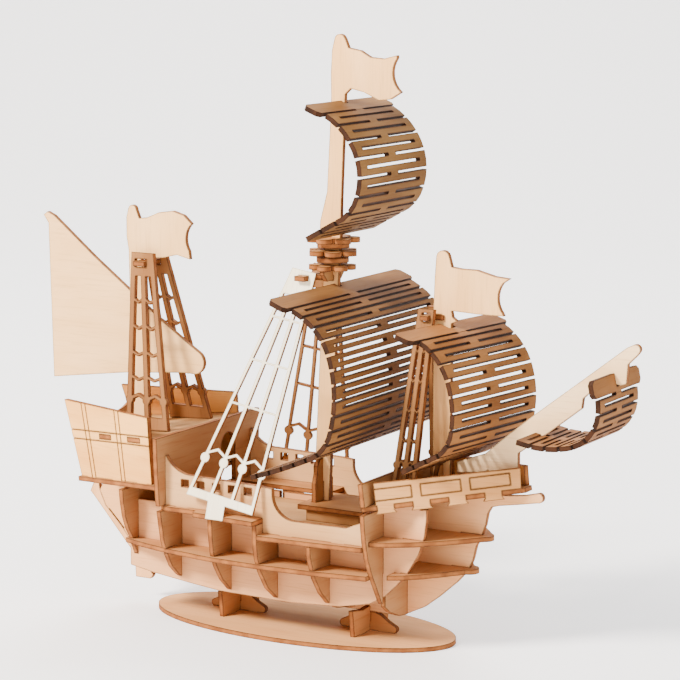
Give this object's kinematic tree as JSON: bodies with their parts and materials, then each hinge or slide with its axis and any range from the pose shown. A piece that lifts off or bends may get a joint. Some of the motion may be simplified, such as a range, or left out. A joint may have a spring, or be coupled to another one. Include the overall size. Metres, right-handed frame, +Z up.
{
  "type": "wooden model ship puzzle",
  "caption": "Slot-together plywood model of a sailing ship with bent slatted sails, rope ladders cut from plate, and an oval stand.",
  "frame": {"origin": "middle of the oval base's underside", "axes": "+X towards the bow, +Y to port, +Z up"},
  "size_m": [0.2815, 0.105, 0.2454],
  "materials": {
    "hull_plywood": "laser-cut basswood plywood, sanded and unfinished, edges browned by the cut",
    "warm_plywood": "laser-cut basswood plywood, sanded, with engraved plank lines",
    "pale_plywood": "laser-cut basswood plywood with a very pale face veneer",
    "sail_plywood": "laser-cut basswood plywood, slit across so that it bends"
  },
  "bodies": {
    "stand": {"base_plate": "hull_plywood", "stand_cradle_front": "hull_plywood", "stand_cradle_rear": "hull_plywood", "stand_brace_front": "hull_plywood", "stand_brace_rear": "hull_plywood"},
    "ship": {"keel_plate": "hull_plywood", "rudder": "hull_plywood", "side_plate_starboard": "hull_plywood", "side_plate_port": "hull_plywood", "frame_1": "hull_plywood", "frame_2": "hull_plywood", "frame_3": "hull_plywood", "frame_4": "hull_plywood", "frame_5": "hull_plywood", "frame_6": "hull_plywood", "lower_wale_starboard": "hull_plywood", "lower_wale_port": "hull_plywood", "upper_wale_starboard": "hull_plywood", "upper_wale_port": "hull_plywood", "channel_starboard": "hull_plywood", "channel_port": "hull_plywood", "bulwark_starboard": "hull_plywood", "bulwark_port": "hull_plywood", "bow_wale_upper": "hull_plywood", "bow_wale_lower": "hull_plywood", "main_deck": "hull_plywood", "forecastle_deck": "hull_plywood", "forecastle_side_starboard": "warm_plywood", "forecastle_side_port": "warm_plywood", "forecastle_bulkhead": "hull_plywood", "castle_floor": "hull_plywood", "castle_deck": "hull_plywood", "castle_side_starboard": "warm_plywood", "castle_side_port": "warm_plywood", "transom": "hull_plywood", "hatch_top": "hull_plywood", "hatch_coaming": "hull_plywood", "mizzen_mast": "hull_plywood", "mizzen_crosstree": "hull_plywood", "mizzen_shroud_starboard": "hull_plywood", "mizzen_shroud_port": "hull_plywood", "lateen_sail": "hull_plywood", "main_mast": "hull_plywood", "main_mast_cross": "hull_plywood", "crows_nest_tiers": "hull_plywood", "crows_nest_bracket": "hull_plywood", "main_crosstree": "hull_plywood", "main_shroud_starboard": "pale_plywood", "main_shroud_port": "hull_plywood", "main_sail": "sail_plywood", "topsail": "sail_plywood", "fore_mast": "hull_plywood", "fore_mast_cross": "hull_plywood", "fore_crosstree": "hull_plywood", "fore_shroud_starboard": "hull_plywood", "fore_shroud_port": "hull_plywood", "fore_sail": "sail_plywood", "bowsprit": "hull_plywood", "sprit_sail": "sail_plywood"}
  },
  "joints": [
    {"name": "lift_off_stand", "type": "slide", "parent": "stand", "child": "ship", "axis": [0, 0, 1], "range_m": [0, 0.03]}
  ]
}
